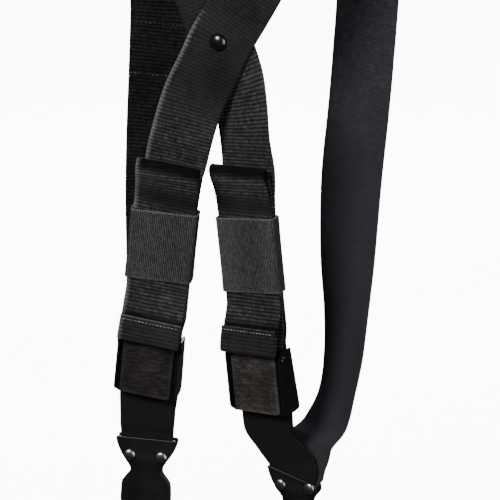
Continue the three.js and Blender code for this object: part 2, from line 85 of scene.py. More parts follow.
# The coupler's own frame: +Z up along its axis from the leaf's top edge, -Y outward, X across.
LEAF_OUT, LEAF_BAND, FOLD, FOLD_RADIUS = 3.3, 1.35, -60, 3.3
LEAF_TRIMMED = 18
LOWER_END, FRONT_END, STRAP_END = 1.3, -1.1, -15
RIVET_SPREAD, RIVET_DOWN = 10.5, -12

# Rivets: cap radius, cap height, post radius, peened end's radius, its height.
CROSSING_RIVET = (5.5, 3.2, 1.8, 4.6, 1.2)
COUPLER_RIVET = (4, 1.9, 1.3, 3.6, 0.9)
CROSSING_LAYERS = 2.6  # from the inner back strap's middle out to the outer one's, at the rivet
WASHER_THICK = 1

CAMERA_AZIMUTH, CAMERA_ELEVATION = 17, 15
CAMERA_DISTANCE = 2.0  # metres from its target
AIM_RIGHT, AIM_DOWN = 0.018, 0.1275  # metres from the crossing to the target, in the picture's plane
FOCAL_LENGTH, SENSOR_WIDTH = 236, 36


# -------- camera, from behind and a little above
def new_object(name, data):
    """An object for the data, in the scene."""
    made = bpy.data.objects.new(name, data)
    bpy.context.collection.objects.link(made)
    return made


def add_camera():
    a, e = math.radians(CAMERA_AZIMUTH), math.radians(CAMERA_ELEVATION)
    away = Vector((math.sin(a) * math.cos(e), -math.cos(a) * math.cos(e), math.sin(e)))
    right = Vector((math.cos(a), math.sin(a), 0))
    up = away.cross(right)
    crossing = Vector((0, 0, -CROSSING_DROP * MM))
    target = crossing + right * AIM_RIGHT - up * AIM_DOWN
    camera = new_object("camera", bpy.data.cameras.new("camera"))
    camera.data.lens = FOCAL_LENGTH
    camera.data.sensor_width = SENSOR_WIDTH
    camera.matrix_world = Matrix.Translation(target + away * CAMERA_DISTANCE) @ Matrix(
        (right, up, away)
    ).transposed().to_4x4()
    bpy.context.scene.camera = camera


add_camera()


# -------- places
def placed(x, y, z, pitch, lean, yaw):
    """A frame in millimetres: +Z along its piece, -Y outward, +X across. z counts from the crossing."""
    turn = math.radians
    return (
        Matrix.Translation((x, y, z - CROSSING_DROP))
        @ Matrix.Rotation(turn(yaw), 4, "Z")
        @ Matrix.Rotation(turn(lean), 4, "Y")
        @ Matrix.Rotation(turn(pitch), 4, "X")
    )


CROSSING = placed(0, 0, 0, 0, 0, CROSSING_YAW)
SIDES = {
    "left": {
        "adjuster": placed(-52.1, 22, -200, 13, 8.8, 5),
        "coupler": placed(-61.5, 36, -271, 0, 2, 5),
        "keeper": 71,
        "skew": 0.1,
        "loop": 130,
        "swing": 0,
        "leaf_trim": (0, 0),
    },
    "right": {
        "adjuster": placed(21.5, 18.6, -202, 6, -2.5, -16),
        "coupler": placed(40.7, 32, -280.2, 0, -2, -13),
        "keeper": 67,
        "skew": 0.07,
        "loop": 125,
        "swing": 1.3,
        "leaf_trim": (0.28, 0.27),
    },
}


def station(x, y, z, yaw=0, width=WEBBING):
    turn = math.radians(yaw)
    return (x, y, z - CROSSING_DROP), (math.cos(turn), math.sin(turn), 0), width


def stations_in(place, rows):
    """Stations in a placed frame, from rows of height, outward distance, width and sideways shift."""
    made = []
    for height, outward, *rest in rows:
        width, shift = rest + [WEBBING, 0][len(rest):]
        at = place @ Vector((shift, -outward, height))
        made.append((tuple(at), tuple(place.to_3x3().col[0]), width))
    return made


def tail_stations(side):
    """Down behind the buckle, round its bar, up under the lever, over the loop and down to the hem."""
    middle, front = LAYER_PITCH, 2 * LAYER_PITCH
    straight = KEEPER_HEIGHT / 2 + KEEPER_TRAVEL
    keeper, top = side["keeper"], side["loop"]
    low, high = keeper - straight, keeper + straight
    return stations_in(side["adjuster"], [
        (high, 0), (keeper, 0), (low, 0), (19, 0), (9, 0, GRIPPED), (-8, 0, GRIPPED),
        (-20.6, 0, GRIPPED), (-22.05, 0.6, GRIPPED), (-22.65, 2.05, GRIPPED), (-22.05, 3.5, GRIPPED),
        (-20.6, 4.1, GRIPPED), (-12, 4.1, GRIPPED), (8, 4.1, GRIPPED),
        (18, 3.8), (low - 8, 2.8), (low, middle), (keeper, middle), (high, middle),
        (top - 13, 2.8), (top - 6, 3.8), (top - 1, 5.9), (top - 0.4, 8.2), (top - 3, 9.8), (top - 9, 9),
        (top - 15, 6.7), (high, front), (keeper, front), (low, front),
        (low - 8, 6.7), (22, 10.1), (14, 13), (8.5, 14.6), (5.9, 15.6),
        (5.6, 16.8), (7.4, 17.5), (13, 15.9), (21, 13),
    ])


OUTER = [
    station(76.4, 73.2, 74), station(77.4, 73.4, 95), station(78.4, 73.2, 118), station(79.5, 71, 150),
    station(80.5, 67, 180), station(81, 59, 208), station(80, 44, CROSSING_DROP + WEBBING_THICK / 2),
    station(78, 29, 208), station(74, 21, 180), station(67, 15, 146), station(56, 9, 111),
    station(43, 2.5, 79), station(29, -1.6, 50, CROSSING_YAW), station(16, -2.8, 26.3, CROSSING_YAW),
    station(0.4, -2.7, 0, CROSSING_YAW), station(-6.8, -2.4, -15.6, CROSSING_YAW),
    station(-18.1, -0.6, -38.6, CROSSING_YAW), station(-26.4, 2.6, -63.2, CROSSING_YAW),
    station(-32.4, 6.8, -83, CROSSING_YAW),
]
INNER = [
    station(-64.2, 72.2, -43), station(-63.6, 72.4, -20), station(-62.6, 72.6, 2), station(-63.4, 73, 40),
    station(-65.4, 73, 80), station(-68, 71.6, 120), station(-70, 69, 155), station(-71, 65, 184),
    station(-71.4, 57, 210), station(-71, 44, CROSSING_DROP + WEBBING_THICK / 2), station(-69, 30, 209),
    station(-65, 21, 180), station(-58, 15, 146), station(-47, 9, 111), station(-33, 6.5, 79),
    station(-19.6, 3.6, 50, CROSSING_YAW), station(-8.6, 1.2, 24.4, CROSSING_YAW),
    station(0.6, 0, 0, CROSSING_YAW), station(8.2, 0.2, -20.6, -6), station(12.2, 1.4, -38, -17),
    station(14.2, 3, -58, -22), station(15.4, 8, -80, -19),
]
FRONT = {
    "left": [
        station(-62.9, 70.3, 26), station(-62.3, 70.1, 6), station(-62.6, 70, -9), station(-64, 70, -41),
        station(-65.5, 69, -80), station(-65.6, 66.5, -118), station(-64.4, 62, -153, -4),
        station(-63.4, 56, -187, -10), station(-62.7, 49, -217, -10), station(-61.8, 41.6, -243, -4),
    ],
    "right": [
        station(78.2, 71, 118), station(77.4, 71.2, 95), station(76.4, 71, 72), station(75, 70.5, 40),
        station(73.4, 70, 8), station(69.3, 70, -47), station(65.4, 69, -90), station(64.2, 67, -118, -6),
        station(63.9, 64, -150, -16), station(64.4, 60, -181, -30), station(64, 55.5, -210, -38),
        station(61, 50, -236, -40, 38), station(56, 43.4, -253, -27, 36),
    ],
}
LOWER = {
    "left": [station(-59.6, 29.6, -259, 2, LOWER_WEB)],
    "right": [station(24.2, 23.6, -256, -14, LOWER_WEB), station(29.6, 28.6, -267, -13, 35)],
}


def front_end(side):
    swing = side["swing"]
    return stations_in(side["coupler"], [
        (17, FRONT_END - 3.6, 34, 6 * swing), (6, FRONT_END - 1.1, 34, 3 * swing),
        (-4, FRONT_END, 34, swing), (STRAP_END, FRONT_END, 23),
    ])


def bar_loop(side):
    return stations_in(side["adjuster"], [
        (height, out, LOWER_WEB)
        for height, out in [
            (-50, 0.3), (-42, 0), (-36.5, -0.6), (-33.5, -0.8), (-31.2, 0.2), (-30.6, 2.05), (-31.2, 3.9),
            (-33.5, 4.9), (-36.5, 4.6), (-42, 2.9),
        ]
    ])


def lower_end(side):
    swing = side["swing"]
    return stations_in(side["coupler"], [
        (4, LOWER_END + 0.5, 35, -3.2 * swing), (-4, LOWER_END, 34, -swing), (STRAP_END, LOWER_END, 23),
    ])


# -------- meshes
def add_piece(name, points, faces, material, body, replaces=()):
    """A mesh from points in millimetres, riding on a CAD body."""
    mesh = bpy.data.meshes.new(name)
    mesh.from_pydata([tuple(p) for p in np.asarray(points) * MM], [], faces)
    mesh.polygons.foreach_set("use_smooth", [True] * len(mesh.polygons))
    mesh.materials.append(MATERIALS[material])
    mesh.update()
    piece = new_object(name, mesh)
    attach(piece, body)
    if replaces:
        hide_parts(*replaces)
    return piece


def cloth_coordinates(piece, values):
    """Distances across and along the cloth in millimetres, and a third value that shifts its tone: on
    webbing it flattens the weave and paints shade above 0, and paints light below 0.
    """
    layer = piece.data.attributes.new("cloth", "FLOAT_VECTOR", "POINT")
    layer.data.foreach_set("vector", np.asarray(values, dtype=np.float32).ravel())


def catmull(values, t):
    """A uniform Catmull-Rom curve through the values, at each t from 0 to 1."""
    values = np.asarray(values, dtype=float)
    if values.ndim == 1:
        values = values[:, None]
    spans = len(values) - 1
    padded = np.vstack([2 * values[0] - values[1], values, 2 * values[-1] - values[-2]])
    at = np.clip(t, 0, 1) * spans
    span = np.minimum(at.astype(int), spans - 1)
    w = (at - span)[:, None]
    p0, p1, p2, p3 = (padded[span + k] for k in range(4))
    m1, m2 = (p2 - p0) / 2, (p3 - p1) / 2
    return (
        (2 * w**3 - 3 * w**2 + 1) * p1 + (w**3 - 2 * w**2 + w) * m1
        + (3 * w**2 - 2 * w**3) * p2 + (w**3 - w**2) * m2
    )


def unit(vectors):
    return vectors / np.linalg.norm(vectors, axis=-1, keepdims=True)


class Route:
    """A strap's middle line, sampled at even steps of its length, with its directions and width there."""

    def __init__(self, stations, step, smooth_width=False):
        at = [s[0] for s in stations]
        fine = np.linspace(0, 1, 60 * len(stations))
        points = catmull(at, fine)
        lengths = np.concatenate([[0], np.cumsum(np.linalg.norm(np.diff(points, axis=0), axis=1))])
        self.length = lengths[-1]
        count = max(8, round(self.length / step)) + 1
        self.along_mm = np.linspace(0, self.length, count)
        t = np.interp(self.along_mm, lengths, fine)
        self.at = catmull(at, t)
        self.along = unit(np.gradient(self.at, axis=0))
        across = catmull([s[1] for s in stations], t)
        self.face = unit(np.cross(self.along, across))
        self.side = np.cross(self.face, self.along)
        widths = [s[2] for s in stations]
        if smooth_width:
            self.width = catmull(widths, t)[:, 0]
        else:
            self.width = np.interp(t, np.linspace(0, 1, len(widths)), widths)

    def nearest(self, height):
        """The sample closest to a height above the crossing."""
        return int(np.argmin(np.abs(self.at[:, 2] + CROSSING_DROP - height)))


def section(thick, columns):
    """A flat closed section with round edges: each point's share across, height, bulge and side."""
    half = thick / 2
    across = np.linspace(-1, 1, columns)
    turn = np.radians([60, 25, -25, -60])
    top = [(u, half, 0.0, 1) for u in across]
    right = [(1, half * math.sin(a), half * math.cos(a) * 0.9, 0) for a in turn]
    bottom = [(u, -half, 0.0, -1) for u in across[::-1]]
    left = [(-1, -half * math.sin(a), -half * math.cos(a) * 0.9, 0) for a in turn]
    return np.array(top + right + bottom + left)


def strap(node, suffix, route, thick, relief, material, columns=15, press_and_painted_light=None, skew=0):
    """A closed strap in a CAD node's place. relief(u, v, edge) gives how far its faces stand proud.

    u and v are the distances across and along, and edge is the distance to the nearer edge.
    The function given for pressing gives, at u and v, how flat the weave lies, with shade painted above 0
    and light painted below 0.
    skew is how far the ribs slant at each sample.
    """
    shape = section(thick, columns)
    share, height, bulge, side = shape.T
    inset = thick / 2 * 0.9
    u = share[None, :] * (route.width[:, None] / 2 - inset) + bulge[None, :]
    v = np.repeat(route.along_mm[:, None], len(shape), axis=1)
    slanted = v + u * np.reshape(skew, (-1, 1))
    proud = relief(u, slanted, route.width[:, None] / 2 - np.abs(u)) * side[None, :]
    offset = height[None, :] + proud
    points = route.at[:, None, :] + u[..., None] * route.side[:, None, :]
    points = points + offset[..., None] * route.face[:, None, :]
    rings, size = u.shape
    index = np.arange(rings * size).reshape(rings, size)
    a, b = index[:-1], index[1:]
    quads = np.stack([a, np.roll(a, -1, 1), np.roll(b, -1, 1), b], axis=-1).reshape(-1, 4)
    faces = quads.tolist() + [index[0][::-1].tolist(), index[-1].tolist()]
    points = points.reshape(-1, 3)
    piece = add_piece(node + suffix, points, faces, material, "harness", [node])
    # the third cloth value: flattening, with painted shade above 0 and painted light below 0
    painted_light_and_flattening = np.zeros_like(u) if press_and_painted_light is None else press_and_painted_light(u, v)
    cloth_coordinates(piece, np.stack([u, slanted, painted_light_and_flattening], axis=-1))
    make_outward(piece)
    return piece


def bump_at(values, middle, spread):
    return np.exp(-(((values - middle) / spread) ** 2))


def make_outward(piece):
    """Turns the faces of a closed mesh outward."""
    mesh = bmesh.new()
    mesh.from_mesh(piece.data)
    bmesh.ops.recalc_face_normals(mesh, faces=mesh.faces)
    mesh.to_mesh(piece.data)
    mesh.free()


def ribbed(u, v, edge):
    """Ribs straight across the webbing, dying out at its selvedges."""
    rib = np.abs(np.cos(math.pi * v / RIB_PITCH)) ** 0.7 - 0.6
    return RIB_HEIGHT * rib * np.clip(edge / SELVEDGE, 0, 1)


def fine_ribbed(u, v, edge):
    """Shallow, closely spaced ribs."""
    rib = np.abs(np.cos(math.pi * v / FINE_PITCH)) - 0.6
    return FINE_HEIGHT * rib * np.clip(edge / SELVEDGE, 0, 1)


def smooth_web(u, v, edge):
    """A close weave with a groove inside each selvedge."""
    groove_in, groove_spread, groove_depth = 3.4, 0.5, 0.168
    yarn_pitch, yarn_height = 1.1, 0.05
    yarn = yarn_height * np.abs(np.cos(math.pi * v / yarn_pitch))
    return yarn - groove_depth * bump_at(edge, groove_in, groove_spread)


def spin(profile, turns=48):
    """Points and faces of a closed solid of revolution about Y, from rows of radius and place along Y."""
    points, faces = [], []
    angle = np.linspace(0, 2 * math.pi, turns, endpoint=False)
    for radius, y in profile:
        if radius == 0:
            points.append([(0, y, 0)])
        else:
            points.append([(radius * math.cos(a), y, radius * math.sin(a)) for a in angle])
    start = np.concatenate([[0], np.cumsum([len(ring) for ring in points])])
    for i in range(len(profile) - 1):
        for k in range(turns):
            n = (k + 1) % turns
            low, high = start[i], start[i + 1]
            if len(points[i]) == 1:
                faces.append((low, high + n, high + k))
            elif len(points[i + 1]) == 1:
                faces.append((low + k, low + n, high))
            else:
                faces.append((low + k, low + n, high + n, high + k))
    return [p for ring in points for p in ring], faces


def move(points, place):
    """Points taken from a placed frame to the harness's own, in millimetres."""
    matrix = np.array(place)
    return np.asarray(points) @ matrix[:3, :3].T + matrix[:3, 3]


# -------- materials
def set_inputs(node, **values):
    """Sets a node's inputs by their names, with underscores for spaces."""
    for socket, value in values.items():
        node.inputs[socket.replace("_", " ")].default_value = value


class Shader:
    """A Principled material whose nodes are added by short calls."""

    def __init__(self, name, **sockets):
        self.material = bpy.data.materials.new(name)
        self.material.use_nodes = True
        self.nodes = self.material.node_tree.nodes
        self.links = self.material.node_tree.links
        self.surface = self.nodes["Principled BSDF"]
        set_inputs(self.surface, **sockets)

    def link(self, source, target):
        self.links.new(source, target)

    def math(self, operation, first, second=None, third=None):
        node = self.nodes.new("ShaderNodeMath")
        node.operation = operation
        for value, socket in zip((first, second, third), node.inputs):
            if value is None:
                continue
            if isinstance(value, (int, float)):
                socket.default_value = value
            else:
                self.link(value, socket)
        return node.outputs[0]

    def scaled(self, value, factor, offset):
        return self.math("MULTIPLY_ADD", value, factor, offset)

    def vary(self, tone, value, amount):
        """The tone, raised or lowered by as much as the value is over or under a half."""
        return self.scaled(self.math("SUBTRACT", value, 0.5), amount, tone)

    def place(self):
        return self.nodes.new("ShaderNodeTexCoord").outputs["Object"]

    def cloth(self):
        """The distances across and along the cloth in millimetres, and its third value: on webbing,
        flattening with painted shade above 0 and painted light below 0.
        """
        node = self.nodes.new("ShaderNodeAttribute")
        node.attribute_name = "cloth"
        split = self.nodes.new("ShaderNodeSeparateXYZ")
        self.link(node.outputs["Vector"], split.inputs[0])
        return split.outputs

    def noise(self, scale, detail=3, roughness=0.5, vector=None):
        node = self.nodes.new("ShaderNodeTexNoise")
        set_inputs(node, Scale=scale, Detail=detail, Roughness=roughness)
        self.link(vector or self.place(), node.inputs["Vector"])
        return node.outputs["Fac"]

    def each(self, first, second):
        """A random shade for each pair of whole numbers."""
        pair = self.nodes.new("ShaderNodeCombineXYZ")
        self.link(first, pair.inputs[0])
        self.link(second, pair.inputs[1])
        node = self.nodes.new("ShaderNodeTexWhiteNoise")
        node.noise_dimensions = "2D"
        self.link(pair.outputs[0], node.inputs["Vector"])
        return node.outputs["Value"]

    def cells(self, scale):
        node = self.nodes.new("ShaderNodeTexVoronoi")
        set_inputs(node, Scale=scale)
        self.link(self.place(), node.inputs["Vector"])
        return node.outputs["Distance"]

    def ramp(self, factor, *stops):
        node = self.nodes.new("ShaderNodeValToRGB")
        elements = node.color_ramp.elements
        while len(elements) < len(stops):
            elements.new(0.5)
        for element, (position, colour) in zip(elements, stops):
            element.position = position
            element.color = (*colour, 1)
        self.link(factor, node.inputs["Fac"])
        return node.outputs["Color"]

    def bump(self, height, distance, strength=1.0, below=None):
        node = self.nodes.new("ShaderNodeBump")
        set_inputs(node, Distance=distance, Strength=strength)
        self.link(height, node.inputs["Height"])
        if below is not None:
            self.link(below, node.inputs["Normal"])
        return node.outputs["Normal"]

    def finish(self, colour=None, roughness=None, normal=None):
        for socket, source in (("Base Color", colour), ("Roughness", roughness), ("Normal", normal)):
            if source is not None:
                self.link(source, self.surface.inputs[socket])
        return self.material


def grey(value, tint=(1, 1, 1)):
    return tuple(value * t for t in tint)


SELVEDGE_PAINTED_RIM_LIGHT = (0.085, 0.082, 0.105)  # painted rim light along a selvedge, at the top of the webbing's colour ramp


def webbing_material(name, dark, light, rib, yarn, tint, contrast=1.0, depth=0.0003):
    """Woven webbing: soft ribs crossed by yarns, with shade painted in the grooves between them,
    flattened and painted darker where its third cloth value is above 0, lighter where it is below.

    rib and yarn are their pitches in millimetres.
    """
    shader = Shader(name, Roughness=0.9, Sheen_Weight=0.02, Specular_IOR_Level=0.06)
    across, along, press_and_painted_light = shader.cloth()
    sway = shader.scaled(shader.noise(70, 2, 0.5), 0.9, -0.45)
    rows = shader.math("DIVIDE", shader.math("ADD", along, sway), rib)
    row = shader.math("FLOOR", shader.math("ADD", rows, 0.5))
    beads = shader.scaled(row, 0.5, shader.math("DIVIDE", across, yarn))
    bead = shader.math("ABSOLUTE", shader.math("SINE", shader.math("MULTIPLY", beads, math.pi)))
    crest = shader.math("ABSOLUTE", shader.math("COSINE", shader.math("MULTIPLY", rows, math.pi)))
    crest = shader.math("POWER", crest, 0.8)
    knit = shader.math("MULTIPLY", crest, shader.scaled(bead, 0.3, 0.7))
    shade = shader.each(shader.math("FLOOR", beads), row)
    fibre = shader.noise(2400, 4, 0.7)
    tone_shift = shader.noise(20, 4, 0.65)
    fleck = shader.noise(300, 4, 0.75)
    flat = shader.math("MINIMUM", shader.math("MAXIMUM", press_and_painted_light, 0.0), 1.0)
    keep = shader.scaled(flat, -0.7, 1.0)
    base = 0.26
    # painted shade: darker in the grooves between ribs and between yarns
    tone = shader.vary(base, knit, 0.5)
    tone = shader.vary(tone, shade, 0.12 * contrast)
    tone = shader.vary(tone, fleck, 0.9 * contrast)
    tone = shader.math("MULTIPLY", shader.math("SUBTRACT", tone, base), keep)
    tone = shader.vary(tone, tone_shift, 0.45 * contrast)
    # darker where the third cloth value is above 0, lighter where it is below: mostly painted shade and
    # painted light, with a little darkening where the weave is flattened
    tone = shader.math("ADD", shader.scaled(press_and_painted_light, -0.08, 0.28), tone)
    middle = dark + (light - dark) * 0.3
    colour = shader.ramp(
        tone,
        (0.0, grey(dark, tint)),
        (0.38, grey(middle, tint)),
        (0.75, grey(light, tint)),
        (0.85, grey(light, tint)),
        # painted rim light, reached only where the third cloth value is far below 0
        (1.0, SELVEDGE_PAINTED_RIM_LIGHT),
    )
    height = shader.math("MULTIPLY", shader.scaled(fibre, 0.4, knit), keep)
    return shader.finish(colour, None, shader.bump(height, depth))


def elastic_material():
    """Knitted elastic: fine cords along the strap, with slanting stitches between them."""
    cord_pitch, stitch_pitch = 1.18, 1.5
    shader = Shader("elastic", Roughness=0.85, Sheen_Weight=0.03, Specular_IOR_Level=0.08)
    across, along, hem = shader.cloth()
    cords = shader.math("SINE", shader.math("MULTIPLY", across, 2 * math.pi / cord_pitch))
    slant = shader.scaled(across, 0.9, along)
    stitch = shader.math("SINE", shader.math("MULTIPLY", slant, 2 * math.pi / stitch_pitch))
    knit = shader.scaled(stitch, 0.7, cords)
    cord = shader.math("FLOOR", shader.math("DIVIDE", across, cord_pitch))
    shade = shader.each(cord, shader.math("FLOOR", shader.math("DIVIDE", slant, stitch_pitch)))
    fleck = shader.noise(900, 3, 0.7)
    fibre = shader.noise(2200, 4, 0.7)
    tone = shader.scaled(knit, 0.24, 0.42)
    tone = shader.vary(tone, shade, 0.22)
    tone = shader.vary(tone, fleck, 0.3)
    tone = shader.scaled(hem, 0.3, tone)
    tint = (1, 1, 1.03)
    colour = shader.ramp(
        tone, (0.1, grey(0.003, tint)), (0.45, grey(0.024, tint)), (0.85, grey(0.095, tint))
    )
    return shader.finish(colour, None, shader.bump(knit, 0.0002, 0.9, shader.bump(fibre, 0.0001, 0.5)))


def suede_material(name, shade):
    """Napped leather, brushed across: a soft mottle of short lighter and darker streaks."""
    shader = Shader(name, Roughness=0.95, Sheen_Weight=0.05, Specular_IOR_Level=0.05)
    brushed = shader.nodes.new("ShaderNodeMapping")
    set_inputs(brushed, Scale=(0.4, 0.4, 1.5))
    shader.link(shader.place(), brushed.inputs["Vector"])
    mottle = shader.noise(420, 4, 0.6, brushed.outputs["Vector"])
    nap = shader.noise(1300, 5, 0.75)
    patch = shader.noise(60, 2, 0.5)
    tone = shader.scaled(patch, 0.25, shader.math("MULTIPLY", mottle, 0.5))
    tone = shader.scaled(nap, 0.55, tone)
    # lighter where the third cloth value is high, towards the pad's edges
    tone = shader.scaled(shader.cloth()[2], 0.1, tone)
    tint = (1.05, 0.9, 0.83)
    colour = shader.ramp(
        tone,
        (0.42, grey(shade * 0.15, tint)),
        (0.62, grey(shade * 0.8, tint)),
        (0.86, grey(shade * 3.4, tint)),
    )
    return shader.finish(colour, None, shader.bump(nap, 0.0005, 0.7, shader.bump(mottle, 0.0006, 0.6)))


def leather_material():
    """Smooth black leather with a fine pebble grain and a soft polish."""
    shader = Shader("leather", Specular_IOR_Level=0.25)
    grain = shader.cells(900)
    creases = shader.noise(240, 5, 0.65)
    scuff = shader.noise(38, 4, 0.7)
    colour = shader.ramp(scuff, (0.3, (0.0025, 0.0024, 0.0022)), (0.75, (0.008, 0.0074, 0.0068)))
    rough = shader.scaled(scuff, 0.25, 0.28)
    creased_normal = shader.bump(creases, 0.0003, 0.35)
    return shader.finish(colour, rough, shader.bump(grain, 0.00012, 0.45, creased_normal))


def gloss_black_material():
    """Gloss black enamel on steel, faintly wavy, with its shade and polish a little uneven."""
    shader = Shader("black_metal", Specular_IOR_Level=0.55, Coat_Weight=0.15, Coat_Roughness=0.15)
    scuff = shader.noise(420, 5, 0.7)
    flow = shader.noise(60, 2, 0.4)
    colour = shader.ramp(scuff, (0.35, (0.002, 0.002, 0.002)), (0.8, (0.006, 0.006, 0.006)))
    rough = shader.scaled(shader.noise(90, 3, 0.5), 0.12, 0.18)
    return shader.finish(colour, rough, shader.bump(flow, 0.0002, 0.2))


def gunmetal_material():
    """Dark nickel plating with fine polishing marks."""
    shader = Shader("gunmetal", Metallic=1.0, Coat_Weight=0.15)
    marks = shader.noise(500, 6, 0.75)
    cloud = shader.noise(70, 3, 0.5)
    colour = shader.ramp(cloud, (0.3, (0.05, 0.047, 0.048)), (0.8, (0.13, 0.122, 0.125)))
    rough = shader.scaled(marks, 0.2, 0.14)
    return shader.finish(colour, rough, shader.bump(marks, 0.00003, 0.3))


def bright_metal_material():
    """Bright nickel on the coupler rivets, slightly warm, with handling marks."""
    shader = Shader("bright_metal", Metallic=1.0)
    marks = shader.noise(700, 5, 0.7)
    colour = shader.ramp(marks, (0.3, (0.16, 0.145, 0.143)), (0.8, (0.34, 0.3, 0.295)))
    rough = shader.scaled(marks, 0.2, 0.2)
    return shader.finish(colour, rough, shader.bump(marks, 0.00003, 0.3))


def thread_material(name, light):
    """Twisted sewing thread, darkened in places with use."""
    shader = Shader(name, Roughness=0.8, Specular_IOR_Level=0.1)
    twist = shader.noise(700, 3, 0.6)
    patches = shader.noise(110, 2, 0.5)
    tone_shift = shader.scaled(patches, 1.2, shader.math("MULTIPLY", twist, 0.4))
    colour = shader.ramp(tone_shift, (0.6, grey(light * 0.12)), (1.0, grey(light)))
    return shader.finish(colour, None, shader.bump(twist, 0.0001, 0.6))


def floor_material():
    """Plain pale paper, barely uneven."""
    shader = Shader("floor", Roughness=0.9)
    drift = shader.noise(3, 2, 0.4)
    return shader.finish(shader.ramp(drift, (0.2, (0.9, 0.9, 0.9)), (0.8, (0.93, 0.93, 0.93))))


YARN_PITCH = 1.15
MATERIALS = {
    "back": webbing_material("webbing_back", 0.0012, 0.054, RIB_PITCH, YARN_PITCH, (1.05, 0.985, 1.0)),
    # painted shade: the same webbing as the back straps, its colour about three times darker on the left
    # front strap
    "front_left": webbing_material(
        "webbing_front_left_shaded_copy", 0.0004, 0.017, RIB_PITCH, YARN_PITCH, (1, 1, 1), contrast=1.1
    ),
    "front_right": webbing_material(
        "webbing_front_right", 0.009, 0.053, FINE_PITCH, 1.0, (0.95, 0.99, 1.12), contrast=0.8
    ),
    "lower": webbing_material(
        "webbing_lower", 0.004, 0.011, 0.8, 0.6, (1, 0.95, 0.98), contrast=0.5, depth=0.00005
    ),
    "elastic": elastic_material(),
    # painted shade and painted light: both pads are the same suede, given a darker shade on the left pad
    # and a lighter one on the right
    "left_suede": suede_material("suede_left_shaded_copy", 0.0095),
    "right_suede": suede_material("suede_right_lit_copy", 0.0165),
    "leather": leather_material(),
    "black_metal": gloss_black_material(),
    "gunmetal": gunmetal_material(),
    "bright_metal": bright_metal_material(),
    "thread": thread_material("thread", 0.26),
    "dull_thread": thread_material("dull_thread", 0.09),
}


# -------- stitching
def stitches(name, rows, material="thread", length=1.9, thick=0.55):
    """Short plump stitches, one for each (point, direction, normal), all in one mesh."""
    turns, rings = 8, 6
    polar = np.radians(np.linspace(18, 162, rings))
    around = np.linspace(0, 2 * math.pi, turns, endpoint=False)
    ball = np.array([
        (-math.cos(p), math.sin(p) * math.cos(a), math.sin(p) * math.sin(a))
        for p in polar for a in around
    ])
    points, faces = [], []
    for at, direction, normal in rows:
        start = len(points)
        sideways = np.cross(normal, direction)
        dip = -0.35 * ball[:, 0:1] ** 2 * thick
        stitch = at + ball[:, 0:1] * length / 2 * direction + ball[:, 1:2] * thick / 2 * sideways
        stitch = stitch + (ball[:, 2:3] * thick / 2 + dip) * normal
        points.extend(stitch.tolist())
        for i in range(rings - 1):
            for k in range(turns):
                n = (k + 1) % turns
                low, high = start + i * turns, start + (i + 1) * turns
                faces.append((low + k, low + n, high + n, high + k))
        faces.append(tuple(start + k for k in reversed(range(turns))))
        faces.append(tuple(start + (rings - 1) * turns + k for k in range(turns)))
    piece = add_piece(name, points, faces, material, "harness")
    make_outward(piece)
    return piece


def stitch_rows(route, thick, sample, facing, shares=(-0.9, 0.9), pitch=2.7):
    """A row of stitches across a strap at one sample, on the face that looks towards facing."""
    sign = 1 if np.dot(route.face[sample], facing) > 0 else -1
    normal = route.face[sample] * sign
    half = route.width[sample] / 2
    start, end = shares[0] * half, shares[1] * half
    count = int((end - start) / pitch)
    places = np.linspace(start, end, count)
    lift = normal * (thick / 2 + 0.12)
    at, side = route.at[sample], route.side[sample]
    return [(at + side * u + lift, side, normal) for u in places]


# -------- straps
HEM_INSET = 2.4
LAP_INSETS = (3, 6, 24, 27)
FRONT_ROWS = {"left": (-5.7, -39.2), "right": ()}  # heights of the rows sewn across each front strap
RIBBED_THICK = WEBBING_THICK + RIB_HEIGHT
OUTWARD = np.array((0.0, -1.0, 0.0))
CHEST = np.array((0.0, 1.0, 0.0))


def hem_stitches(name, route, facing):
    """The row that closes a hem, just inside its cut edge."""
    last = len(route.along_mm) - 1
    sample = last - round(HEM_INSET / STEP)
    rows = stitch_rows(route, RIBBED_THICK, sample, facing, (-0.84, 0.84), 2.2)
    return stitches(name, rows, length=1.8, thick=0.6)


def back_flattening_and_painted_light(route, is_outer):
    """Where a back strap's weave is flattened, and where shade and light are painted into its colour:
    above 0 it is darker and flatter, below 0 lighter.
    """
    height = (route.at[:, 2] + CROSSING_DROP)[:, None]
    tail = route.along_mm > route.length - 250
    top = route.along_mm[np.argmax(np.where(tail, height[:, 0], -np.inf))]

    def press_and_painted_light(u, v):
        # painted shade across the top of the loop's fold, and painted light on its front face 9 to 13 mm
        # below
        share = np.interp(v - top, (-10, -3, 3.5, 6.5, 9, 13, 20), (0, 4, 4, 1.2, -1.7, -0.9, 0))
        # painted shadow on the loop's front face just above the keeper
        share += 1.8 * bump_at(v - top, 27, 5)
        from_end = route.length - v
        # the hem flattened and a little darker over its last 17 mm, and a painted highlight along its cut
        # edge
        share += np.interp(from_end, (0, 17, 20), (0.8, 0.8, 0)) - 3 * bump_at(from_end, 0, 1)
        # painted shadow on the strap where it passes under the hem's cut edge
        share += 4 * bump_at(v, under_hem(route), 2.4)
        if is_outer:
            # darker and flatter round the crossing, from 60 mm below it to 80 mm above
            share += np.interp(height, (-60, -28, 40, 80), (0, 0.9, 0.9, 0))
            # painted shade where the outer strap lies over the inner one's edge, about 21 mm below the
            # crossing
            share += 1.1 * bump_at(u, 9, 10) * bump_at(height, -21, 12)
            # painted rim light along the outer strap's left selvedge, from 10 mm above the crossing
            # downward
            share -= 9 * (u < -18.9) * np.interp(height, (-140, -60, 0, 10), (0.8, 1, 1, 0))
        else:
            # painted shade on the inner strap above the crossing
            share += 1.1 * (height > 0)
        return share

    return press_and_painted_light


